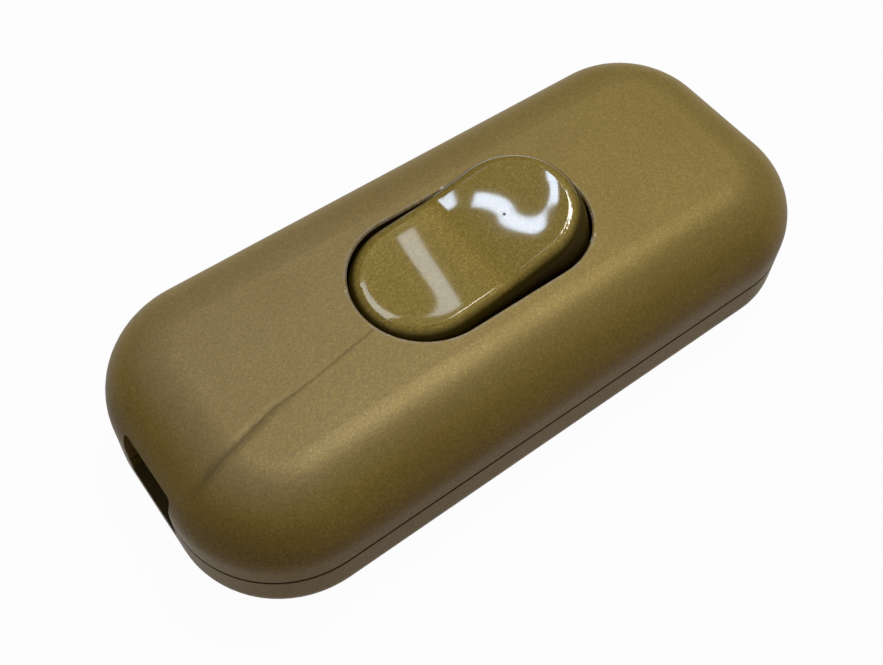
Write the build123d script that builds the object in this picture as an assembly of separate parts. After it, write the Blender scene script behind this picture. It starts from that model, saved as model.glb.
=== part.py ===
from build123d import *
import math
import os

# An in-line rocker switch for a flat two-core lamp cord.
# X runs along the cord, Z is up, and the origin lies under the middle of the base. Sizes are in millimetres.

# Housing
length = 60.0
width = 26.4
corner_radius = 9.0
base_height = 5.2
cover_height = 7.7
wall = 1.8
top_round = 6.0
bottom_round = 2.5
parting_bevel = 0.15
lip_height = 1.0
lip_thickness = 0.8
lip_clearance = 0.1

# Cord slots, which cross the parting line at both ends
slot_width = 6.8
slot_above_parting = 4.0
slot_below_parting = 1.6
slot_corner = 0.5

# Rocker and its opening in the cover
opening_length = 21.5
opening_width = 12.25
opening_draft = 10.0
opening_bevel = 0.15
rocker_end_gap = 0.28
rocker_side_gap = 0.2
rocker_tilt = 10.0
wing_slope = 13.4
rocker_stand = 0.9
rocker_side_draft = 1.0
rocker_wall = 1.2
rocker_roof = 1.34
rocker_skirt = 1.4
shoulder_round = 1.3
valley_softness = 0.8
wing_droop = 1.8
dish_depth = 0.26
dish_steepness = 3.3
dish_side_inset = 1.22
dish_end_inset = 1.73
ridge_round = 0.35
trunnion_radius = 1.1
trunnion_engagement = 1.0
trunnion_clearance = 0.05
trunnion_headroom = 0.1
support_gap = 0.3
support_thickness = 1.1
support_half_length = 2.4
rib_overhang = 1.0

# Plunger and spring in the rocker's post
plunger_radius = 1.2
plunger_clearance = 0.05
plunger_length = 3.4
plunger_gap = 0.1
post_wall = 1.0
post_drop = 3.0
spring_wire = 0.32
spring_turns = 5
spring_clearance = 0.12

# See-saw contact
seesaw_tilt = 6.0
seesaw_half_length = 7.6
seesaw_half_width = 2.7
seesaw_thickness = 0.7
seesaw_bend = 2.4
notch_depth = 0.6
knife_clearance = 0.04
horn_height = 1.2
horn_clearance = 0.25
contact_reach = 6.2
contact_radius = 1.5
contact_thickness = 0.5
contact_gap = 0.06
fixed_tip_height = 1.0

# Terminals
strip_thickness = 0.8
strip_width = 3.4
run_width = 2.2
run_gap = 0.35
pillar_length = 5.0
pillar_width = 4.4
pillar_height = 4.6
pillar_side = 7.0
pillar_end_gap = 1.75
wire_bore = 1.8
terminal_screw_radius = 0.95
terminal_head_radius = 1.15
terminal_screw_lift = 0.4
bar_height = 4.2
bar_pad = 0.6
bar_clearance = 0.2

# Cord clamps
clamp_setback = 4.6
clamp_length = 4.0
clamp_thickness = 1.3
clamp_screw_margin = 1.9
clamp_tooth = 0.35
cord_room = 4.3
clamp_screw_radius = 1.0
clamp_boss_radius = 1.9

# Screws
hole_clearance = 0.05
head_radius = 1.7
head_height = 0.9
driver_slot = 0.5
housing_screw_setback = 4.6
housing_screw_radius = 1.2
housing_head_radius = 2.1
housing_head_height = 1.4
housing_head_recess = 0.2
housing_head_clearance = 0.2
housing_boss_radius = 2.4
boss_gap = 0.1
thread_end_gap = 0.8

# Levels and places that follow from the sizes above
housing_height = base_height + cover_height
ceiling = housing_height - wall
pivot_z = ceiling - trunnion_radius - trunnion_headroom
valley_z = housing_height + rocker_stand
swing_radius = math.hypot(opening_length / 2, housing_height - pivot_z) - rocker_end_gap
rocker_length = 2 * swing_radius
rocker_width = opening_width - 2 * rocker_side_gap
support_inner = rocker_width / 2 + support_gap
support_outer = support_inner + support_thickness
strip_top = wall + strip_thickness
arm_level = strip_top + fixed_tip_height + contact_gap + contact_thickness
knife_z = arm_level + seesaw_bend * math.sin(math.radians(seesaw_tilt))
plunger_tip = knife_z + seesaw_thickness + plunger_gap
plunger_top = plunger_tip + plunger_length
bore_top = valley_z - dish_depth - rocker_roof
pillar_x = opening_length / 2 + pillar_end_gap + pillar_length / 2
slot_low = base_height - slot_below_parting
slot_high = base_height + slot_above_parting
clamp_x = length / 2 - wall - clamp_setback
clamp_low = slot_low + cord_room
clamp_screw_y = slot_width / 2 + clamp_screw_margin
clamp_half_width = clamp_screw_y + clamp_screw_margin
housing_screw_x = clamp_x - housing_screw_setback
run_outer = -support_inner + run_gap
run_inner = run_outer + run_width
bar_inner = support_outer + bar_clearance
bar_outer = width / 2 - wall - bar_clearance
bar_half_length = pillar_x + pillar_length / 2
bar_low = wall + bar_pad


def housing_plan(inset):
    """Rounded plan of the housing, moved in by the inset."""
    return RectangleRounded(length - 2 * inset, width - 2 * inset, corner_radius - inset)


def prism(sketch, low, high):
    """Sketch on the XY plane raised between two levels."""
    return extrude(Pos(0, 0, low) * sketch, high - low)


def rod(x, y, radius, low, high):
    """Upright cylinder between two levels."""
    return Pos(x, y, (low + high) / 2) * Cylinder(radius, high - low)


def block(x_span, y_span, z_span):
    """Box between two limits on each axis."""
    spans = (x_span, y_span, z_span)
    middle = [(low + high) / 2 for low, high in spans]
    size = [high - low for low, high in spans]
    return Pos(*middle) * Box(*size)


def about_pivot(part, level, angle):
    """Part turned about the cross axis at the given level."""
    return Pos(0, 0, level) * Rot(0, angle, 0) * Pos(0, 0, -level) * part


def cord_slot(side):
    """Rounded slot through one end wall of both housing halves."""
    profile = Plane.YZ * Pos(0, (slot_low + slot_high) / 2)
    profile *= RectangleRounded(slot_width, slot_high - slot_low, slot_corner)
    depth = wall + 2
    return Pos(side * (length / 2 - wall / 2) - depth / 2, 0, 0) * extrude(profile, depth)


def make_cover():
    outer = prism(housing_plan(0), base_height, housing_height)
    outer = fillet(outer.edges().group_by(Axis.Z)[-1], top_round)
    outer = chamfer(outer.edges().group_by(Axis.Z)[0], parting_bevel)
    hollow = prism(housing_plan(wall), base_height, ceiling)
    hollow = fillet(hollow.edges().group_by(Axis.Z)[-1], top_round - wall)
    cover = outer - hollow
    lip_seat = wall - lip_thickness - lip_clearance
    cover -= prism(housing_plan(lip_seat), base_height, base_height + lip_height + lip_clearance)
    for side in (-1, 1):
        x = side * housing_screw_x
        hole_top = ceiling - thread_end_gap / 2
        cover += rod(x, 0, housing_boss_radius, base_height + boss_gap, ceiling + wall / 4)
        cover -= rod(x, 0, housing_screw_radius + hole_clearance, base_height, hole_top)
        cover -= cord_slot(side)
    flare = wall * math.tan(math.radians(opening_draft))
    opening = loft([
        Pos(0, 0, housing_height) * SlotOverall(opening_length, opening_width),
        Pos(0, 0, ceiling) * SlotOverall(opening_length + 2 * flare, opening_width + 2 * flare),
    ])
    cover -= opening
    edge = cover.edges().filter_by_position(Axis.Z, housing_height - 0.01, housing_height + 0.01)
    edge = edge.filter_by_position(Axis.Y, -opening_width / 2 - 0.01, opening_width / 2 + 0.01)
    edge = edge.filter_by_position(Axis.X, -opening_length / 2 - 0.01, opening_length / 2 + 0.01)
    return chamfer(edge, opening_bevel)


def make_base():
    outer = prism(housing_plan(0), 0, base_height)
    outer = fillet(outer.edges().group_by(Axis.Z)[0], bottom_round)
    outer = chamfer(outer.edges().group_by(Axis.Z)[-1], parting_bevel)
    base = outer - prism(housing_plan(wall), wall, base_height)
    lip = prism(housing_plan(wall - lip_thickness), base_height, base_height + lip_height)
    base += lip - prism(housing_plan(wall), base_height, base_height + lip_height)
    for side in (-1, 1):
        base += rocker_support(side)
        base += cord_saddle(side)
        base -= cord_slot(side)
        x = side * housing_screw_x
        recess = housing_head_recess + housing_head_height
        base += rod(x, 0, housing_boss_radius, wall / 2, base_height)
        base -= rod(x, 0, housing_screw_radius + hole_clearance, 0, base_height)
        base -= rod(x, 0, housing_head_radius + housing_head_clearance, 0, recess)
        pad_middle = side * (bar_half_length - pillar_length - bar_pad)
        base += block((pad_middle - 1, pad_middle + 1), (bar_inner, bar_outer), (wall / 2, bar_low))
    stop_x = (contact_reach - contact_radius / 2, seesaw_half_length)
    base += block(stop_x, (-seesaw_half_width, seesaw_half_width), (wall / 2, arm_level - contact_gap))
    return base


def rocker_support(side):
    """Rib beside the rocker with the open bearing for one trunnion."""
    y_span = sorted((side * support_inner, side * support_outer))
    rib_half = opening_length / 2 + rib_overhang
    top = pivot_z + trunnion_radius
    support = block((-rib_half, rib_half), y_span, (wall / 2, base_height))
    support += block((-support_half_length, support_half_length), y_span, (wall / 2, top))
    radius = trunnion_radius + trunnion_clearance
    bearing = Pos(0, side * (support_inner + support_outer) / 2, pivot_z) * Rot(90, 0, 0)
    bearing *= Cylinder(radius, 2 * support_thickness)
    return support - bearing - block((-radius, radius), y_span, (pivot_z, ceiling))


def cord_saddle(side):
    """Bar that the cord lies on, with a boss for a clamp screw at each end."""
    x = side * clamp_x
    half = clamp_length / 4
    saddle = block((x - half, x + half), (-clamp_screw_y, clamp_screw_y), (wall / 2, slot_low))
    for y in (-clamp_screw_y, clamp_screw_y):
        saddle += rod(x, y, clamp_boss_radius, wall / 2, slot_low)
    for y in (-clamp_screw_y, clamp_screw_y):
        saddle -= rod(x, y, clamp_screw_radius + hole_clearance, wall, slot_low)
    return saddle


def wing_level(x, y):
    """Level of the rocker's two wings, which meet in a soft valley."""
    wing = math.tan(math.radians(wing_slope)) * (math.hypot(x, valley_softness) - valley_softness)
    return valley_z + wing - wing_droop * (2 * x / rocker_length) ** 2


def dish_level(x, y):
    """Level of the finger dish, which meets the wings at its rim and is steepest there."""
    half_width = rocker_width / 2 - dish_side_inset
    straight = rocker_length / 2 - dish_end_inset - half_width
    share = math.hypot(max(abs(x) - straight, 0), y) / half_width
    return wing_level(x, y) - dish_depth * (1 - share ** dish_steepness)


def rocker_form(inset):
    """Body of the rocker, moved in by the inset: its ends follow the arc that they swing on."""
    levels = 6
    reach = valley_z - pivot_z + rocker_length / 8
    sections = []
    for i in range(levels + 1):
        rise = -rocker_skirt + i * (reach + rocker_skirt) / levels
        half_length = math.sqrt(swing_radius ** 2 - rise ** 2) - inset
        half_width = rocker_width / 2 - rise * math.tan(math.radians(rocker_side_draft)) - inset
        sections.append(Pos(0, 0, pivot_z + rise) * SlotOverall(2 * half_length, 2 * half_width))
    return loft(sections)


def above(level):
    """Solid above a surface over the rocker, from its level at each place."""
    columns, rows = 48, 20
    x_step = (rocker_length + 2) / columns
    y_step = (rocker_width + 1) / rows
    grid = []
    for i in range(columns + 1):
        x = (i - columns / 2) * x_step
        ys = [(j - rows / 2) * y_step for j in range(rows + 1)]
        grid.append([Vector(x, y, level(x, y)) for y in ys])
    face = Face.make_surface_from_array_of_points(grid, tol=0.005)
    return extrude(face, amount=3 * cover_height, dir=(0, 0, 1))


def make_rocker():
    body = rocker_form(0) - above(wing_level)
    rim = body.edges().filter_by(lambda edge: edge.center().Z > pivot_z + shoulder_round)
    body = fillet(rim, shoulder_round) - above(dish_level)
    dish = body.faces().sort_by(Axis.Z)[-1]
    body = fillet(dish.edges(), ridge_round)
    half = rocker_length / 2
    low = pivot_z - rocker_skirt
    high = bore_top + math.tan(math.radians(wing_slope)) * (half - valley_softness) - wing_droop
    under_roof = Plane.XZ * Polygon(
        (-half, low), (half, low), (half, high), (0, bore_top), (-half, high), align=None
    )
    body -= rocker_form(rocker_wall) & extrude(under_roof, rocker_width / 2, both=True)
    post_radius = plunger_radius + plunger_clearance + post_wall
    body += rod(0, 0, post_radius, pivot_z - post_drop, bore_top + rocker_roof / 4)
    body -= rod(0, 0, plunger_radius + plunger_clearance, pivot_z - post_drop, bore_top)
    for side in (-1, 1):
        inner = rocker_width / 2 - rocker_wall / 2
        outer = support_inner + trunnion_engagement
        place = Pos(0, side * (inner + outer) / 2, pivot_z) * Rot(90, 0, 0)
        body += place * Cylinder(trunnion_radius, outer - inner)
    return about_pivot(body, pivot_z, -rocker_tilt)


def make_plunger():
    tip = plunger_tip + plunger_radius
    pin = rod(0, 0, plunger_radius, tip, plunger_top)
    pin += Pos(0, 0, tip) * Sphere(plunger_radius)
    return about_pivot(pin, pivot_z, -rocker_tilt)


def make_spring():
    low = plunger_top + spring_wire / 2
    high = bore_top - spring_wire / 2 - plunger_gap
    radius = plunger_radius - spring_clearance - spring_wire / 2
    path = Helix((high - low) / spring_turns, high - low, radius)
    profile = Plane(origin=path @ 0, z_dir=path % 0) * RegularPolygon(spring_wire / 2, 6)
    coil = Pos(0, 0, low) * sweep(profile, path=path, is_frenet=True)
    return about_pivot(coil, pivot_z, -rocker_tilt)


def seesaw_at_rest(part):
    """Part of the see-saw turned so that its left arm is lifted off the fixed contact."""
    return about_pivot(part, knife_z, seesaw_tilt)


def make_contact_strip():
    rise = (seesaw_half_length - seesaw_bend) * math.tan(math.radians(seesaw_tilt))
    under = [
        (-seesaw_half_length, knife_z + rise), (-seesaw_bend, knife_z),
        (seesaw_bend, knife_z), (seesaw_half_length, knife_z + rise),
    ]
    over = [(x, z + seesaw_thickness) for x, z in reversed(under)]
    profile = Plane.XZ * Polygon(*under, *over, align=None)
    strip = extrude(profile, seesaw_half_width, both=True)
    notch_half = strip_thickness / 2 + horn_clearance
    for side in (-1, 1):
        y_span = sorted((side * (seesaw_half_width - notch_depth), side * (seesaw_half_width + 1)))
        strip -= block((-notch_half, notch_half), y_span, (knife_z - 1, knife_z + 2))
    return seesaw_at_rest(strip)


def make_moving_tip():
    reach = contact_reach - seesaw_bend
    button = Pos(-reach, 0, -contact_thickness / 2) * Cylinder(contact_radius, contact_thickness)
    bend = Pos(-seesaw_bend, 0, knife_z) * Rot(0, seesaw_tilt, 0)
    return seesaw_at_rest(bend * button)


def pillar_pad(side):
    """Foot of a terminal strip under its pillar."""
    x_span = (side * pillar_x - pillar_length / 2, side * pillar_x + pillar_length / 2)
    y_span = (-pillar_side - pillar_width / 2, -pillar_side + pillar_width / 2)
    return block(x_span, y_span, (wall, strip_top))


def make_common_strip():
    arm_half = strip_width / 2
    strip = pillar_pad(1)
    strip += block((-arm_half, pillar_x + pillar_length / 2), (run_outer, run_inner), (wall, strip_top))
    strip += block((-arm_half, arm_half), (run_outer, seesaw_half_width), (wall, strip_top))
    half = strip_thickness / 2
    edge = knife_z - knife_clearance
    knife = Plane.XZ * Polygon(
        (-half, wall), (half, wall), (half, edge - half), (0, edge), (-half, edge - half), align=None
    )
    strip += extrude(knife, seesaw_half_width - notch_depth, both=True)
    for side in (-1, 1):
        inner = seesaw_half_width - notch_depth + horn_clearance
        y_span = sorted((side * inner, side * seesaw_half_width))
        strip += block((-half, half), y_span, (wall, knife_z + horn_height))
        foot = sorted((side * (seesaw_half_width - notch_depth), side * seesaw_half_width))
        strip += block((-half, half), foot, (wall, knife_z - horn_clearance))
    return strip


def make_fixed_strip():
    arm_half = strip_width / 2
    arm_span = (-contact_reach - arm_half, -contact_reach + arm_half)
    run_span = (-pillar_x - pillar_length / 2, -contact_reach)
    strip = pillar_pad(-1)
    strip += block(run_span, (run_outer, run_inner), (wall, strip_top))
    strip += block(arm_span, (run_outer, 0), (wall, strip_top))
    return strip + rod(-contact_reach, 0, arm_half, wall, strip_top)


def make_pillar(side):
    """Terminal block with a wire bore along the cord and a screw hole from above."""
    x, y = side * pillar_x, -pillar_side
    low, high = strip_top, strip_top + pillar_height
    x_span = (x - pillar_length / 2, x + pillar_length / 2)
    pillar = block(x_span, (y - pillar_width / 2, y + pillar_width / 2), (low, high))
    pillar = chamfer(pillar.edges().filter_by(Axis.Z), pillar_width / 10)
    wire = Pos(x, y, low + pillar_height / 3) * Rot(0, 90, 0) * Cylinder(wire_bore / 2, pillar_length)
    return pillar - wire - rod(x, y, terminal_screw_radius + hole_clearance, low + pillar_height / 3, high)


def make_neutral_bar():
    middle = (bar_inner + bar_outer) / 2
    bar = block((-bar_half_length, bar_half_length), (bar_inner, bar_outer), (bar_low, bar_low + bar_height))
    bar = chamfer(bar.edges().filter_by(Axis.X), bar_clearance)
    for side in (-1, 1):
        depth = pillar_length + wire_bore
        wire_x = side * (bar_half_length - depth / 2)
        wire_z = bar_low + bar_height / 3
        bar -= Pos(wire_x, middle, wire_z) * Rot(0, 90, 0) * Cylinder(wire_bore / 2, depth)
        radius = terminal_screw_radius + hole_clearance
        bar -= rod(side * pillar_x, middle, radius, wire_z, bar_low + bar_height)
    return bar


def make_screw(x, y, seat, end, shank, head, height, driver_up=True):
    """Slotted screw whose head sits at the seat level and whose shank runs to the end level."""
    way = 1 if driver_up else -1
    top = seat + way * height
    screw = rod(x, y, head, min(seat, top), max(seat, top))
    rim = screw.edges().group_by(Axis.Z)[-1 if driver_up else 0]
    screw = chamfer(rim, height / 3)
    screw -= Pos(x, y, top) * Box(3 * head, driver_slot, height)
    return screw + rod(x, y, shank, min(seat, end), max(seat, end))


def make_terminal_screw(x, y, top, wire_z):
    seat = top + terminal_screw_lift
    end = wire_z + wire_bore / 2
    return make_screw(x, y, seat, end, terminal_screw_radius, terminal_head_radius, head_height)


def make_clamp_bar(side):
    x = side * clamp_x
    half = clamp_length / 2
    high = clamp_low + clamp_thickness
    bar = block((x - half, x + half), (-clamp_half_width, clamp_half_width), (clamp_low + clamp_tooth, high))
    bar = fillet(bar.edges().filter_by(Axis.Z), half * 0.6)
    for place in (x - half / 2, x + half / 2):
        tooth = Plane.XZ * Polygon(
            (place - clamp_tooth, clamp_low + clamp_tooth), (place, clamp_low),
            (place + clamp_tooth, clamp_low + clamp_tooth), align=None,
        )
        bar += extrude(tooth, slot_width / 2, both=True)
    for y in (-clamp_screw_y, clamp_screw_y):
        bar -= rod(x, y, clamp_screw_radius + hole_clearance, clamp_low, high)
    return bar


def make_clamp_screw(side, y):
    seat = clamp_low + clamp_thickness
    end = wall + hole_clearance
    return make_screw(side * clamp_x, y, seat, end, clamp_screw_radius, head_radius, head_height)


def make_housing_screw(side):
    seat = housing_head_recess + housing_head_height
    end = ceiling - thread_end_gap
    x = side * housing_screw_x
    return make_screw(
        x, 0, seat, end, housing_screw_radius, housing_head_radius, housing_head_height, driver_up=False
    )


def make_parts():
    bar_y = (bar_inner + bar_outer) / 2
    pillar_top = strip_top + pillar_height
    pillar_wire = strip_top + pillar_height / 3
    bar_top = bar_low + bar_height
    bar_wire = bar_low + bar_height / 3
    return {
        "cover": make_cover(),
        "base": make_base(),
        "rocker": make_rocker(),
        "plunger": make_plunger(),
        "plunger_spring": make_spring(),
        "contact_strip": make_contact_strip(),
        "moving_tip": make_moving_tip(),
        "common_strip": make_common_strip(),
        "common_pillar": make_pillar(1),
        "fixed_strip": make_fixed_strip(),
        "fixed_tip": rod(-contact_reach, 0, contact_radius, strip_top, strip_top + fixed_tip_height),
        "fixed_pillar": make_pillar(-1),
        "neutral_bar": make_neutral_bar(),
        "common_screw": make_terminal_screw(pillar_x, -pillar_side, pillar_top, pillar_wire),
        "fixed_screw": make_terminal_screw(-pillar_x, -pillar_side, pillar_top, pillar_wire),
        "neutral_screw_left": make_terminal_screw(-pillar_x, bar_y, bar_top, bar_wire),
        "neutral_screw_right": make_terminal_screw(pillar_x, bar_y, bar_top, bar_wire),
        "clamp_bar_left": make_clamp_bar(-1),
        "clamp_bar_right": make_clamp_bar(1),
        "clamp_screw_left_near": make_clamp_screw(-1, -clamp_screw_y),
        "clamp_screw_left_far": make_clamp_screw(-1, clamp_screw_y),
        "clamp_screw_right_near": make_clamp_screw(1, -clamp_screw_y),
        "clamp_screw_right_far": make_clamp_screw(1, clamp_screw_y),
        "housing_screw_left": make_housing_screw(-1),
        "housing_screw_right": make_housing_screw(1),
    }


os.makedirs("parts", exist_ok=True)
for node, part in make_parts().items():
    export_step(part, f"parts/{node}.step")
    print(node, round(part.volume, 2))
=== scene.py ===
# %% [markdown]
# An in-line lamp switch
#
# The switch sits in the middle of a lamp cord: a moulded housing in two halves, with a rocker on top and
# the contacts inside. The CAD model already has every solid in its place, so this lesson loads it as a
# fixed frame and gives each piece the finish that the real one has.

# %% Load the CAD frame
import math

import bmesh
import bpy
from mathutils import Matrix, Vector


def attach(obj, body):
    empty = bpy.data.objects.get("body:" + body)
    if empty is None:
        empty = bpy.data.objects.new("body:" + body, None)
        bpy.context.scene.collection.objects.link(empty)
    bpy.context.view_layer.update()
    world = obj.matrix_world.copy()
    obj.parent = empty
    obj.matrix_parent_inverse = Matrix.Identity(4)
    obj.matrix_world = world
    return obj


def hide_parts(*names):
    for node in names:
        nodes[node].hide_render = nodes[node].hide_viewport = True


MM = 0.001
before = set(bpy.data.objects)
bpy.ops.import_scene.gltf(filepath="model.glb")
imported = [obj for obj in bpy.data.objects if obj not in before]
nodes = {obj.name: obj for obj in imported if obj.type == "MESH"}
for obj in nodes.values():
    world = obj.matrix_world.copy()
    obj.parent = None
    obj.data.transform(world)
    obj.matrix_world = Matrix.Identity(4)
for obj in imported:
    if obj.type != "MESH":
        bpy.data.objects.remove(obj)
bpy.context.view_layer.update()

# %% [markdown]
# The camera
#
# The photograph looks down on the near left corner of the switch from about ten centimetres away. A lens
# that close makes the near end plainly larger than the far one, so the distance matters as much as the
# angle. The camera could be turned with Euler angles, but three axes that are worked out from azimuth,
# elevation and roll are easier to check against the photograph.

# %% Place the camera
IMAGE_WIDTH, IMAGE_HEIGHT = 883, 665
OPTICAL_MIDDLE = (469.5, 282.5)
FOCAL_PIXELS = 1147.7
SENSOR_WIDTH = 36
CAMERA_DISTANCE = 95.47 * MM
aim = Vector((0, 0, 8 * MM))
azimuth, elevation, roll = (math.radians(angle) for angle in (-40.95, 54.57, 4.4))

level = math.cos(elevation)
back = Vector((math.sin(azimuth) * level, -math.cos(azimuth) * level, math.sin(elevation)))
level_right = Vector((math.cos(azimuth), math.sin(azimuth), 0))
level_up = back.cross(level_right)
right = level_right * math.cos(roll) + level_up * math.sin(roll)
up = back.cross(right)

camera = bpy.data.objects.new("camera", bpy.data.cameras.new("camera"))
turned = Matrix((right, up, back)).transposed().to_4x4()
camera.matrix_world = Matrix.Translation(aim + back * CAMERA_DISTANCE) @ turned
camera.data.sensor_width = SENSOR_WIDTH
camera.data.lens = FOCAL_PIXELS * SENSOR_WIDTH / IMAGE_WIDTH
camera.data.shift_x = (IMAGE_WIDTH / 2 - OPTICAL_MIDDLE[0]) / IMAGE_WIDTH
camera.data.shift_y = (OPTICAL_MIDDLE[1] - IMAGE_HEIGHT / 2) / IMAGE_WIDTH
camera.data.clip_start = 1 * MM
bpy.context.scene.collection.objects.link(camera)
bpy.context.scene.camera = camera
print("camera at", [round(v / MM, 1) for v in camera.location], "mm, lens", round(camera.data.lens, 1), "mm")

# %% [markdown]
# Shader arithmetic
#
# Each finish below is a small graph of nodes. Every Math node could be made and wired by hand, but that
# would hide the idea. So one class wraps a socket and lets Python's own operators add the Math nodes, and
# a formula then reads as it would on paper.


# %% Let sockets reckon
class Number:
    """A value socket that Python's operators can reckon with."""

    def __init__(self, socket):
        self.socket = socket

    def math(self, operation, *values):
        node = self.socket.id_data.nodes.new("ShaderNodeMath")
        node.operation = operation
        for socket, value in zip(node.inputs, values):
            plug(socket, value)
        return Number(node.outputs[0])

    def __add__(self, other):
        return self.math("ADD", self, other)

    __radd__ = __add__

    def __sub__(self, other):
        return self.math("SUBTRACT", self, other)

    def __rsub__(self, other):
        return self.math("SUBTRACT", other, self)

    def __mul__(self, other):
        return self.math("MULTIPLY", self, other)

    __rmul__ = __mul__

    def __truediv__(self, other):
        return self.math("DIVIDE", self, other)

    def __rtruediv__(self, other):
        return self.math("DIVIDE", other, self)

    def __pow__(self, power):
        return self.math("POWER", self, power)

    def __abs__(self):
        return self.math("ABSOLUTE", self)

    def above(self, limit):
        return self.math("MAXIMUM", self, limit)

    def below(self, limit):
        return self.math("MINIMUM", self, limit)


def plug(socket, value):
    """Links a node's output to the socket, or sets the socket's own value."""
    if isinstance(value, Number):
        socket.id_data.links.new(value.socket, socket)
    elif socket.type == "RGBA" and len(value) == 3:
        socket.default_value = (*value, 1)
    else:
        socket.default_value = value


# %% [markdown]
# A finish
#
# A second class holds one material. Its method node adds any node from its type, its settings and what goes
# into its sockets, and a few short methods on top of it give the shapes that every finish here is built
# from: a smooth step, its fall, a mix of two colours, noise and relief. Places come from the object's own
# coordinates and are counted in millimetres, like the sizes of the switch, so that no picture has to be
# wrapped round it.


# %% Describe a finish
class Finish:
    """One material: its main shader, and the nodes that vary it over the surface."""

    def __init__(self, name, constants):
        self.material = bpy.data.materials.new(name)
        self.material.use_nodes = True
        self.tree = self.material.node_tree
        self.shader = self.tree.nodes["Principled BSDF"]
        self.set(constants)
        in_metres = self.node("ShaderNodeTexCoord", output="Object")
        to_millimetres = {0: in_metres, "Scale": 1 / MM}
        self.place = self.node("ShaderNodeVectorMath", {"operation": "SCALE"}, to_millimetres)
        self.x, self.y, self.z = (self.part(self.place, axis) for axis in "XYZ")

    def node(self, kind, settings={}, sockets={}, output=0):
        made = self.tree.nodes.new(kind)
        for name, value in settings.items():
            setattr(made, name, value)
        for name, value in sockets.items():
            plug(made.inputs[name], value)
        return Number(made.outputs[output])

    def set(self, inputs):
        for name, value in inputs.items():
            plug(self.shader.inputs[name], value)

    def part(self, vector, axis):
        """One of a vector's three parts."""
        return self.node("ShaderNodeSeparateXYZ", {}, {0: vector}, axis)

    def noise(self, per_mm, detail=2, stretch=None):
        place = self.place
        if stretch:
            place = self.node("ShaderNodeVectorMath", {"operation": "MULTIPLY"}, {0: place, 1: stretch})
        return self.node("ShaderNodeTexNoise", {}, {"Vector": place, "Scale": per_mm, "Detail": detail})

    def step(self, value, low, high):
        """Smooth rise from 0 at low to 1 at high."""
        smooth = {"interpolation_type": "SMOOTHSTEP"}
        return self.node("ShaderNodeMapRange", smooth, {0: value, 1: low, 2: high})

    def fade(self, value, near, far):
        """Smooth fall from 1 at near to 0 at far."""
        return 1 - self.step(value, near, far)

    def mix(self, share, first, second):
        return self.node("ShaderNodeMix", {"data_type": "RGBA"}, {0: share, 6: first, 7: second}, 2)

    def bump(self, height_mm):
        return self.node("ShaderNodeBump", {}, {"Height": height_mm, "Distance": MM})


def dress(finish, *names):
    """Gives the finish to CAD nodes."""
    for name in names:
        mesh = nodes[name].data
        mesh.materials.clear()
        mesh.materials.append(finish.material)
    print(finish.material.name, "on", len(names), "nodes")


# %% [markdown]
# The housing's plastic
#
# Cover and base are moulded in one plastic: olive gold and satin, with fine metal flakes mixed in. One flat
# colour would look like paint. Here a Voronoi texture with cells of about a tenth of a millimetre gives
# every flake its own brightness, and two noises mottle the plastic, one fine and one slow. The colour also
# holds painted light: upward faces get a paler, greyer gold as a painted sheen, most of all at the left end,
# and the sides a deeper, redder gold as painted shade. The surface's own direction mixes these golds.


# %% Mix the housing plastic
FLAKES_PER_MM = 9
SHADED_SIDE_GOLD, ROUND_GOLD = (0.18, 0.095, 0.014), (0.235, 0.163, 0.036)
LEFT_TOP_SHEEN_GOLD, RIGHT_TOP_SHEEN_GOLD = (0.23, 0.176, 0.088), (0.218, 0.158, 0.047)
FLAKE_GOLD, SPARKLE_GOLD = (0.38, 0.27, 0.07), (0.6, 0.48, 0.26)
GAP_BROWN, CLOUD_BROWN = (0.1, 0.07, 0.02), (0.2, 0.13, 0.04)


def flakes(finish, per_mm):
    """A random number from 0 to 1 for each metal flake in the plastic."""
    cells = finish.node("ShaderNodeTexVoronoi", {}, {"Vector": finish.place, "Scale": per_mm}, "Color")
    return finish.node("ShaderNodeSeparateColor", {}, {0: cells})


def facing_up(finish):
    """The upward part of the surface's direction, 1 on a level face."""
    return finish.part(finish.node("ShaderNodeTexCoord", output="Normal"), "Z")


housing = Finish("housing_plastic", {"Metallic": 0.14, "Specular IOR Level": 0.05})
upward = facing_up(housing)
flake = flakes(housing, FLAKES_PER_MM)
sparkle = housing.step(flake, 0.92, 1)
mottle = housing.step(housing.noise(4.5), 0.35, 0.65)
cloud = housing.noise(0.15, 3)
# Painted light: the greyer top gold is a painted sheen, palest at the left end, and the darker, redder side
# gold is painted shade.
sheen_to_right = housing.step(housing.x - 0.8 * housing.y, -26, 22)
top_sheen_gold = housing.mix(sheen_to_right, LEFT_TOP_SHEEN_GOLD, RIGHT_TOP_SHEEN_GOLD)
gold = housing.mix(housing.step(upward, 0, 0.9), SHADED_SIDE_GOLD, ROUND_GOLD)
gold = housing.mix(housing.step(upward, 0.7, 1), gold, top_sheen_gold)
gold = housing.mix(0.08 * mottle + 0.34 * flake, gold, FLAKE_GOLD)
gold = housing.mix(0.16 * (1 - flake), gold, GAP_BROWN)
gold = housing.mix(0.06 * sparkle, gold, SPARKLE_GOLD)
gold = housing.mix(0.2 * housing.step(cloud, 0.35, 0.75), gold, CLOUD_BROWN)
dress(housing, "cover", "base")

# %% [markdown]
# The knit line
#
# Molten plastic flows round the rocker's opening and meets itself behind it. Where the two fronts met, the
# real cover has a fine dark line that runs to the left end and widens there into a shallow, shaded dent. It
# could be cut into the mesh, but it is a flow mark and not a shape, so the distance from a slightly bent
# line darkens the plastic and lowers it a little. The darkening in the dent is painted shade.

# %% Draw the knit line
KNIT_START, KNIT_OFFSET, KNIT_SLOPE = -10.6, 1.8, 0.187
BEND_AT, BEND_REACH, BEND_OUT = 10, 2.2, 0.4
KNIT_BROWN, DENT_SHADE_BROWN = (0.07, 0.05, 0.02), (0.08, 0.06, 0.025)

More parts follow.
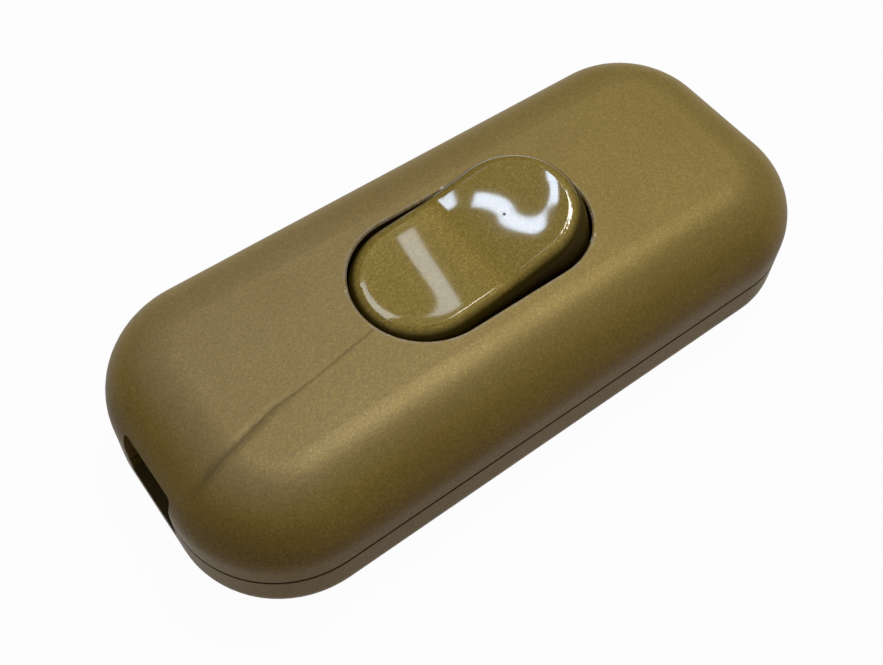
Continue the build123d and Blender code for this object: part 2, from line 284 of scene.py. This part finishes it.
along = KNIT_START - housing.x
bend = (along - BEND_AT) / BEND_REACH
knit_y = BEND_OUT / (1 + bend * bend) - KNIT_OFFSET - KNIT_SLOPE * along
off_line = abs(housing.y - knit_y + 0.25 * (housing.noise(1.2) - 0.5))
on_top = housing.step(along, 0, 0.4) * housing.fade(along, 16, 18.5) * housing.step(housing.z, 9, 10)
fine_line = housing.fade(off_line, 0.02, 0.22) * on_top
dent_and_shade = housing.fade(off_line / (0.35 + 0.03 * along), 0, 1) * on_top * housing.step(along, 6, 13)
gold = housing.mix(0.25 * fine_line, gold, KNIT_BROWN)
# Painted shade: the dent's darker brown stands in for the shade in the shallow groove.
gold = housing.mix(0.4 * dent_and_shade, gold, DENT_SHADE_BROWN)
print("knit line runs left from x", KNIT_START, "mm")

# %% [markdown]
# Worn and flashed edges
#
# The edge of the rocker's opening is rubbed grey, with a little flash along it whose bright glints are a
# painted highlight, and the parting line is a thin groove whose dark brown is painted shade. The wear could
# be painted by hand, but both edges are simple to describe: one is a fixed distance from the outline of the
# opening, the other a fixed height. Masks from those two distances put the wear, the painted glints and the
# painted shade only where the real edges have them, and noise breaks up the one at the opening.

# %% Wear the edges
OPENING_STRAIGHT, OPENING_RADIUS = 4.625, 6.125
COVER_TOP, PARTING = 12.9, 5.2
GROOVE_SHADE_BROWN, RUBBED_GREY, GLINT_WHITE = (0.035, 0.02, 0.008), (0.3, 0.27, 0.24), (0.75, 0.7, 0.6)

past_straight = (abs(housing.x) - OPENING_STRAIGHT).above(0)
from_opening = (past_straight * past_straight + housing.y * housing.y) ** 0.5 - OPENING_RADIUS
near_top = housing.step(housing.z, COVER_TOP - 0.6, COVER_TOP - 0.2)
rubbed = housing.step(housing.noise(2.2, 3), 0.3, 0.6)
lip = housing.fade(abs(from_opening - 0.1), 0.08, 0.3) * near_top * rubbed
# Painted highlight: bright glints along the flash at the opening.
glint = housing.step(housing.noise(1.6, 1), 0.66, 0.72)
# Painted shade: the parting groove darkens to brown.
groove_shade = housing.fade(abs(housing.z - PARTING), 0.08, 0.2)
gold = housing.mix(0.8 * groove_shade, gold, GROOVE_SHADE_BROWN)
gold = housing.mix(0.45 * lip, gold, RUBBED_GREY)
gold = housing.mix(0.8 * glint * lip, gold, GLINT_WHITE)
satin = housing.noise(3.5)
housing.set({"Base Color": gold, "Roughness": 0.4 + 0.06 * cloud - 0.03 * sparkle + 0.15 * fine_line})
housing.set({"Normal": housing.bump(0.01 * satin - 0.008 * fine_line - 0.05 * dent_and_shade)})
print(housing.material.name, "has", len(housing.tree.nodes), "shader nodes")

# %% [markdown]
# The rocker's plastic
#
# The rocker has the same flakes in a yellower gold, and its side walls get a plain dark brown that is
# painted shade. One dark speck of dust sits on the raised wing. The walls could have a material of their
# own, but the change from top to wall is gradual over the rounded shoulder, so the surface's direction mixes
# the gold and the painted shade here as well.

# %% Mix the rocker plastic
DARK_FLAKE, LIGHT_FLAKE, ROCKER_SPARKLE = (0.185, 0.13, 0.02), (0.29, 0.207, 0.042), (0.5, 0.4, 0.14)
WALL_SHADE_BROWN, SPECK_BLACK = (0.045, 0.029, 0.002), (0.01, 0.008, 0.005)
SPECK = (3.15, 0.06, 14.75)

rocker = Finish("rocker_plastic", {"Metallic": 0.1, "Specular IOR Level": 0.1, "Coat Roughness": 0.035})
upward = facing_up(rocker)
flake = flakes(rocker, FLAKES_PER_MM)
sparkle = rocker.step(flake, 0.88, 1)
two_places = {0: rocker.place, 1: SPECK}
from_speck = rocker.node("ShaderNodeVectorMath", {"operation": "DISTANCE"}, two_places, "Value")
speck = rocker.fade(from_speck, 0.08, 0.16)
gold = rocker.mix(flake, DARK_FLAKE, LIGHT_FLAKE)
gold = rocker.mix(0.2 * sparkle, gold, ROCKER_SPARKLE)
# Painted shade: the side walls darken to brown.
gold = rocker.mix(rocker.step(upward, 0.65, 0.95), WALL_SHADE_BROWN, gold)
gold = rocker.mix(speck, gold, SPECK_BLACK)
rocker.set({"Base Color": gold, "Roughness": 0.42 - 0.1 * sparkle})
print(rocker.material.name, "has", len(rocker.tree.nodes), "shader nodes")

# %% [markdown]
# The rocker's polish
#
# The top has a high gloss from a polished mould. A smooth base would lose the soft sheen of the flakes, so
# a clear coat with almost no roughness lies over them and gives the sharp reflections. It covers the upward
# faces only, fades in the valley, where a mould is hard to polish, and leaves out the speck. The rocker is
# tilted, so the distance from the valley is measured along its own slope.

# %% Polish the rocker
PIVOT_Z = 9.9
TILT = math.radians(10)

along = math.cos(TILT) * rocker.x + math.sin(TILT) * (rocker.z - PIVOT_Z)
wings = rocker.step(abs(along), 0.35, 2)
far_rim = rocker.step(along, 0.6, 0.9) * rocker.step(rocker.y, 2.4, 3)
polished = rocker.step(upward, 0.55, 0.85)
rocker.set({"Coat Weight": polished * wings.above(far_rim) * (1 - speck)})
rocker.set({"Normal": rocker.bump(0.0015 * rocker.noise(0.5, 1))})
print(rocker.material.name, "with its polish has", len(rocker.tree.nodes), "shader nodes")

# %% [markdown]
# The shape of the rocker's dish
#
# Gloss shows every facet, and the CAD mesh has only large ones in the rocker's dish, so the top is modelled
# again from a formula. On the real rocker two nearly flat wings rise out of a shallow valley, with a slight
# dish across both. The CAD model's valley is about a third of a millimetre deeper at its middle, and its
# wings agree to about a tenth. A subdivided mesh would be smooth too, but it would keep the deeper valley.
# All heights are in millimetres, with the rocker laid level.

# %% Describe the dish
DISH_HALF_LENGTH, DISH_HALF_WIDTH = 9.15, 4.705
DISH_STRAIGHT = DISH_HALF_LENGTH - DISH_HALF_WIDTH
CAD_VALLEY_Z, CAD_SOFTNESS, CAD_SLOPE = 13.8, 0.8, math.tan(math.radians(13.4))
CAD_DROOP, CAD_DROOP_LENGTH = 1.8, 10.877
CAD_DEPTH, CAD_STEEPNESS = 0.26, 3.3
VALLEY_Z, SOFTNESS, SLOPE = 14, 0.41, 0.069
DROOP, DROOP_LENGTH, DROOP_POWER = 0.214, 10, 5.05
DEPTH, STEEPNESS = 0.107, 2.42
END_RISE, END_POWER = 0.151, 1.66


def past_sides(x):
    """How far a place lies past the dish's straight sides, in half widths."""
    return max(abs(x) - DISH_STRAIGHT, 0) / DISH_HALF_WIDTH


def cad_dish(x, y):
    """Height of the CAD model's dish."""
    wing = CAD_VALLEY_Z + CAD_SLOPE * (math.hypot(x, CAD_SOFTNESS) - CAD_SOFTNESS)
    wing -= CAD_DROOP * (x / CAD_DROOP_LENGTH) ** 2
    return wing - CAD_DEPTH * (1 - math.hypot(past_sides(x), y / DISH_HALF_WIDTH) ** CAD_STEEPNESS)


def dish(x, y):
    """Height of the finer dish."""
    across, past = abs(y) / DISH_HALF_WIDTH, past_sides(x)
    wing = VALLEY_Z + SLOPE * (math.hypot(x, SOFTNESS) - SOFTNESS)
    wing -= DROOP * abs(x / DROOP_LENGTH) ** DROOP_POWER
    ends = END_RISE * past ** 2 * math.hypot(past, across) ** END_POWER
    return wing - DEPTH * (1 - across ** STEEPNESS) + ends


middles = [round(shape(0, 0), 2) for shape in (dish, cad_dish)]
print("middle of the finer dish and of the CAD model's, in mm:", middles)

# %% [markdown]
# Cutting out the old dish
#
# A copy of the CAD mesh keeps the rocker's walls, trunnions and inside as they are. The copy is merged
# first, because CAD meshes are loose triangles, and laid level about its pivot. Faces whose corners all lie
# on the CAD model's own formula are the dish, and they go. The edge that is left gets more points, set on
# the true rim.

# %% Cut out the CAD dish
MERGE_DISTANCE = 0.0005 * MM
ON_DISH = 0.006
LONGEST_RIM_EDGE, RIM_CUTS = 0.15, 5


def on_spine(x):
    """The nearest place to x on the dish's middle line."""
    return min(max(x, -DISH_STRAIGHT), DISH_STRAIGHT)


form = bmesh.new()
form.from_mesh(nodes["rocker"].data)
bmesh.ops.remove_doubles(form, verts=form.verts, dist=MERGE_DISTANCE)
pivot = Matrix.Translation((0, 0, PIVOT_Z))
lay_level = pivot @ Matrix.Rotation(TILT, 4, "Y") @ pivot.inverted() @ Matrix.Scale(1 / MM, 4)
bmesh.ops.transform(form, matrix=lay_level, verts=form.verts)
dish_verts = {vert for vert in form.verts if abs(vert.co.z - cad_dish(vert.co.x, vert.co.y)) < ON_DISH}
old_dish = [face for face in form.faces if dish_verts.issuperset(face.verts)]
bmesh.ops.delete(form, geom=old_dish, context="FACES")
rim = [edge for edge in form.edges if edge.is_boundary]
long_edges = [edge for edge in rim if edge.calc_length() > LONGEST_RIM_EDGE]
bmesh.ops.subdivide_edges(form, edges=long_edges, cuts=RIM_CUTS)
rim_verts = {vert for edge in form.edges if edge.is_boundary for vert in edge.verts}
for vert in rim_verts:
    spine = Vector((on_spine(vert.co.x), 0))
    place = spine + (vert.co.xy - spine).normalized() * DISH_HALF_WIDTH
    vert.co = *place, cad_dish(*place)
print("cut out", len(old_dish), "faces, rim of", len(rim_verts), "vertices")

# %% [markdown]
# Growing the new dish
#
# First the rocker's upper edge is lifted or lowered to the finer dish's rim. Then the rim is extruded
# inwards again and again, each ring a little nearer to the middle line and every vertex at the height of
# the formula. A grid laid over the dish would be quicker, but rings follow the outline and meet it without
# slivers.

# %% Grow the new dish
RINGS = 40
LIFT_FROM = 12.5


def rim_lift(x):
    """How far the rim of the finer dish lies over the CAD model's."""
    x = min(max(x, -DISH_HALF_LENGTH), DISH_HALF_LENGTH)
    y = DISH_HALF_WIDTH * math.sqrt(1 - past_sides(x) ** 2)
    return dish(x, y) - cad_dish(x, y)


for vert in form.verts:
    vert.co.z += min(max(vert.co.z - LIFT_FROM, 0), 1) * rim_lift(vert.co.x)
ring = [edge for edge in form.edges if edge.is_boundary]
for left in range(RINGS, 1, -1):
    grown = bmesh.ops.extrude_edge_only(form, edges=ring)["geom"]
    for vert in (part for part in grown if isinstance(part, bmesh.types.BMVert)):
        spine = on_spine(vert.co.x)
        x = spine + (vert.co.x - spine) * (left - 1) / left
        y = vert.co.y * (left - 1) / left
        vert.co = x, y, dish(x, y)
    ring = [part for part in grown if isinstance(part, bmesh.types.BMEdge) and part.is_boundary]
bmesh.ops.triangle_fill(form, edges=ring, use_beauty=True)
bmesh.ops.triangulate(form, faces=[face for face in form.faces if len(face.verts) > 4])
print("open edges of the rocker:", sum(edge.is_boundary for edge in form.edges))

# %% [markdown]
# Putting the smooth rocker in place
#
# Faces are shaded smooth, and only edges with a plain angle stay sharp, as on the moulding. The copy is
# tilted back to where the CAD node stands. It is then parented to an empty for the rocker's body and shown
# in place of the CAD node, which is hidden.

# %% Put the smooth rocker in place
SHARP_ANGLE = math.radians(30)

bmesh.ops.recalc_face_normals(form, faces=form.faces)
for face in form.faces:
    face.smooth = True
for edge in form.edges:
    edge.smooth = edge.calc_face_angle(0) < SHARP_ANGLE
bmesh.ops.transform(form, matrix=lay_level.inverted(), verts=form.verts)
mesh = bpy.data.meshes.new("rocker_smooth")
form.to_mesh(mesh)
form.free()
mesh.materials.append(rocker.material)
smooth_rocker = bpy.data.objects.new("rocker_smooth", mesh)
bpy.context.scene.collection.objects.link(smooth_rocker)
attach(smooth_rocker, "rocker")
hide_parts("rocker")
print("smooth rocker of", len(mesh.polygons), "faces in place of", len(nodes["rocker"].data.polygons))

# %% [markdown]
# Brass
#
# Strips, pillars and bars inside are stamped or drawn from brass. A plain yellow metal would look new and
# polished. Fine scratches run along the strip, which is why the noise is stretched along X, and a slower
# noise gives the darker, duller patches that handling leaves.

# %% Finish the brass
BRIGHT_BRASS, DULL_BRASS = (0.66, 0.45, 0.17), (0.38, 0.24, 0.09)

brass = Finish("brass", {"Metallic": 1.0})
scratch = brass.noise(6, 3, stretch=(0.08, 1, 1))
tarnish = brass.step(brass.noise(0.5, 4), 0.45, 0.75)
brass.set({"Base Color": brass.mix(0.7 * tarnish, BRIGHT_BRASS, DULL_BRASS)})
brass.set({"Roughness": 0.24 + 0.16 * scratch + 0.15 * tarnish, "Normal": brass.bump(0.004 * scratch)})
dress(brass, "contact_strip", "common_strip", "common_pillar", "fixed_strip", "fixed_pillar", "neutral_bar")

# %% [markdown]
# Contact silver
#
# The two contact buttons are silver alloy, pale and soft, with a grey bloom of tarnish and small pits where
# the arc has struck. The pits could be modelled, but they are far smaller than the buttons, so one mask
# darkens, dulls and lowers the surface together.

# %% Finish the contact silver
PALE_SILVER, BLOOM_GREY, PIT_GREY = (0.78, 0.76, 0.72), (0.5, 0.48, 0.45), (0.2, 0.19, 0.18)

silver = Finish("contact_silver", {"Metallic": 1.0})
bloom = silver.step(silver.noise(0.9, 3), 0.4, 0.7)
pit = silver.step(silver.noise(3), 0.62, 0.75)
pale = silver.mix(0.5 * bloom, PALE_SILVER, BLOOM_GREY)
silver.set({"Base Color": silver.mix(0.6 * pit, pale, PIT_GREY)})
silver.set({"Roughness": 0.28 + 0.2 * bloom + 0.2 * pit, "Normal": silver.bump(-0.015 * pit)})
dress(silver, "moving_tip", "fixed_tip")

# %% [markdown]
# Zinc plate
#
# The screws are steel with bright zinc on it. Zinc takes a faint yellow and blue tint and a fine crystal
# grain. Noise alone would look cloudy and not crystalline, so a Voronoi texture varies the colour and a
# little of the gloss from grain to grain.

# %% Finish the zinc plate
CRYSTALS_PER_MM = 3
BLUE_ZINC, YELLOW_ZINC, DARK_ZINC = (0.6, 0.62, 0.66), (0.66, 0.62, 0.5), (0.42, 0.43, 0.45)

zinc = Finish("screw_steel", {"Metallic": 1.0})
crystal = flakes(zinc, CRYSTALS_PER_MM)
tint = zinc.mix(zinc.step(zinc.noise(0.4), 0.35, 0.7), BLUE_ZINC, YELLOW_ZINC)
zinc.set({"Base Color": zinc.mix(0.25 * crystal, tint, DARK_ZINC)})
zinc.set({"Roughness": 0.24 + 0.16 * crystal, "Normal": zinc.bump(0.004 * zinc.noise(5))})
terminal_screws = ["common_screw", "fixed_screw", "neutral_screw_left", "neutral_screw_right"]
clamp_screws = [f"clamp_screw_{end}_{side}" for end in ("left", "right") for side in ("near", "far")]
housing_screws = ["housing_screw_left", "housing_screw_right"]
dress(zinc, *terminal_screws, *clamp_screws, *housing_screws)

# %% [markdown]
# Spring wire
#
# The plunger's spring is drawn wire with a dark, oily blue-grey skin and fine drawing marks round the
# turns. Marks that follow the wire exactly would need a map along its length. On wire this thin, noise that
# is drawn out along X and Y looks the same.

# %% Finish the spring
DARK_WIRE, LIGHT_WIRE = (0.3, 0.31, 0.34), (0.5, 0.5, 0.5)

spring = Finish("spring_steel", {"Metallic": 1.0})
drawn = spring.noise(9, stretch=(0.2, 0.2, 1))
spring.set({"Base Color": spring.mix(drawn, DARK_WIRE, LIGHT_WIRE)})
spring.set({"Roughness": 0.25 + 0.2 * drawn, "Normal": spring.bump(0.004 * drawn)})
dress(spring, "plunger_spring")

# %% [markdown]
# Inner plastics
#
# The plunger is natural nylon, off-white and waxy. The two cord clamps are brown and satin, with a coarse
# grain that helps them to grip. Both are seen only with the cover off, so one noise each for colour and
# gloss is enough, and the same noise gives the clamps their relief.

# %% Finish the inner plastics
CREAM_NYLON, WHITE_NYLON = (0.72, 0.69, 0.6), (0.78, 0.76, 0.69)
DARK_CLAMP, LIGHT_CLAMP = (0.06, 0.037, 0.018), (0.1, 0.065, 0.035)

nylon = Finish("white_plastic", {"Specular IOR Level": 0.45})
wax = nylon.step(nylon.noise(0.8, 3), 0.3, 0.7)
nylon.set({"Base Color": nylon.mix(wax, CREAM_NYLON, WHITE_NYLON), "Roughness": 0.38 + 0.12 * wax})
nylon.set({"Normal": nylon.bump(0.01 * nylon.noise(3))})
dress(nylon, "plunger")

clamp = Finish("clamp_plastic", {})
grain = clamp.noise(4, 3)
clamp.set({"Base Color": clamp.mix(grain, DARK_CLAMP, LIGHT_CLAMP), "Roughness": 0.4 + 0.2 * grain})
clamp.set({"Normal": clamp.bump(0.03 * grain)})
dress(clamp, "clamp_bar_left", "clamp_bar_right")

# %% [markdown]
# The floor
#
# The switch lies on a white sheet. A white sheet under enough lamps would light the switch from below as
# well, so the sheet itself is grey. To the camera and in reflections it mostly glows white by itself, which
# gives the plain background of a product picture, while the rest of it still takes the shadow.

# %% Lay the floor
FLOOR_HALF_SIZE = 4.0
FLOOR_DROP = 0.05 * MM
GLOW_SHARE = 0.97


def stage_object(name, form, finish):
    """Makes an object of the stage from a bmesh."""
    mesh = bpy.data.meshes.new(name)
    form.to_mesh(mesh)
    form.free()
    mesh.materials.append(finish.material)
    made = bpy.data.objects.new(name, mesh)
    bpy.context.scene.collection.objects.link(made)
    return made


paper = Finish("floor_paper", {"Base Color": (0.42, 0.42, 0.42), "Roughness": 0.9})
glow = paper.node("ShaderNodeEmission", {}, {"Color": (1, 1, 1), "Strength": 1.0})
rays = [f"Is {kind} Ray" for kind in ("Camera", "Glossy", "Transmission")]
seen = sum(paper.node("ShaderNodeLightPath", output=ray) for ray in rays).below(1)
plain = Number(paper.shader.outputs[0])
sheet = paper.node("ShaderNodeMixShader", {}, {0: GLOW_SHARE * seen, 1: plain, 2: glow})
plug(paper.tree.nodes["Material Output"].inputs["Surface"], sheet)
form = bmesh.new()
bmesh.ops.create_grid(form, x_segments=1, y_segments=1, size=FLOOR_HALF_SIZE)
floor = stage_object("floor", form, paper)
floor.location.z = -FLOOR_DROP
print("floor of", 2 * FLOOR_HALF_SIZE, "m")

# %% [markdown]
# The dark surround
#
# Round the switch stands a low dark wall that the camera can't see. It gives the rounded edges a dark
# horizon to reflect, and that is what makes satin plastic look round. A darker world would do it too, but
# would take light from above as well.

# %% Stand the dark surround
SURROUND_RADIUS, SURROUND_HEIGHT = 0.45, 0.22

felt = Finish("surround_felt", {"Base Color": (0.03, 0.025, 0.02), "Roughness": 1.0})
form = bmesh.new()
ring = bmesh.ops.create_circle(form, segments=64, radius=SURROUND_RADIUS)["verts"]
edges = list({edge for vert in ring for edge in vert.link_edges})
wall = bmesh.ops.extrude_edge_only(form, edges=edges)["geom"]
wall_top = [part for part in wall if isinstance(part, bmesh.types.BMVert)]
bmesh.ops.translate(form, verts=wall_top, vec=(0, 0, SURROUND_HEIGHT))
surround = stage_object("surround", form, felt)
surround.visible_camera = False
print("surround of", len(surround.data.polygons), "faces")

# %% [markdown]
# The lamps
#
# Each lamp is set by where it stands in the sky over the switch and by how large it looks from there, both
# in degrees. A lamp's watts spread over its whole face, so they are worked out from the brightness that a
# mirror would show. The key lamp hangs overhead. The three lamps behind are small and cool, like a window:
# one makes the hook of light in the rocker's dish, one the spot on its far rim, and a weaker strip the grey
# band. A picture of a room would do all this at once, but single lamps can be moved one by one.

# %% Hang the lamps
LAMP_DISTANCE = 0.8
WHITE, COOL, BLUISH = (1, 1, 1), (0.9, 0.96, 1.0), (0.68, 0.8, 1.0)


def softbox(name, azimuth, elevation, wide, high, brightness, colour, turn=0):
    """Area light that faces the switch."""
    light = bpy.data.lights.new(name, "AREA")
    light.shape = "RECTANGLE"
    light.color = colour
    light.size, light.size_y = (2 * LAMP_DISTANCE * math.tan(math.radians(a) / 2) for a in (wide, high))
    light.energy = math.pi * light.size * light.size_y * brightness
    lamp = bpy.data.objects.new(name, light)
    a, e = math.radians(azimuth), math.radians(elevation)
    outward = Vector((math.cos(e) * math.cos(a), math.cos(e) * math.sin(a), math.sin(e)))
    sideways = Vector((-math.sin(a), math.cos(a), 0))
    upright = outward.cross(sideways)
    facing = Matrix((sideways, upright, outward)).transposed() @ Matrix.Rotation(math.radians(turn), 3, "Z")
    lamp.matrix_world = Matrix.Translation(aim + outward * LAMP_DISTANCE) @ facing.to_4x4()
    bpy.context.scene.collection.objects.link(lamp)
    print(name, "of", round(light.energy, 2), "W")


softbox("key_lamp", 24, 69, wide=20, high=20, brightness=21, colour=WHITE)
softbox("hook_lamp", 86.1, 62.9, wide=0.98, high=3.6, brightness=23, colour=BLUISH, turn=-47)
softbox("spot_lamp", 91.7, 65.2, wide=0.4, high=1.45, brightness=24, colour=BLUISH)
softbox("strip_lamp", 70.2, 60.2, wide=1.25, high=4.8, brightness=6.2, colour=COOL, turn=17)

# %% [markdown]
# The sky
#
# A little even light from everywhere keeps the shaded sides from going black. A second large lamp could
# fill them too, but would show in the rocker's gloss.

# %% Light the sky
SKY_STRENGTH = 0.1

world = bpy.data.worlds.new("studio")
bpy.context.scene.world = world
world.use_nodes = True
sky = world.node_tree.nodes["Background"]
plug(sky.inputs["Color"], WHITE)
plug(sky.inputs["Strength"], SKY_STRENGTH)
print("sky of strength", SKY_STRENGTH)

# %% [markdown]
# View settings
#
# The Standard view shows colours as they are written.

# %% Set the view
bpy.context.scene.view_settings.view_transform = "Standard"
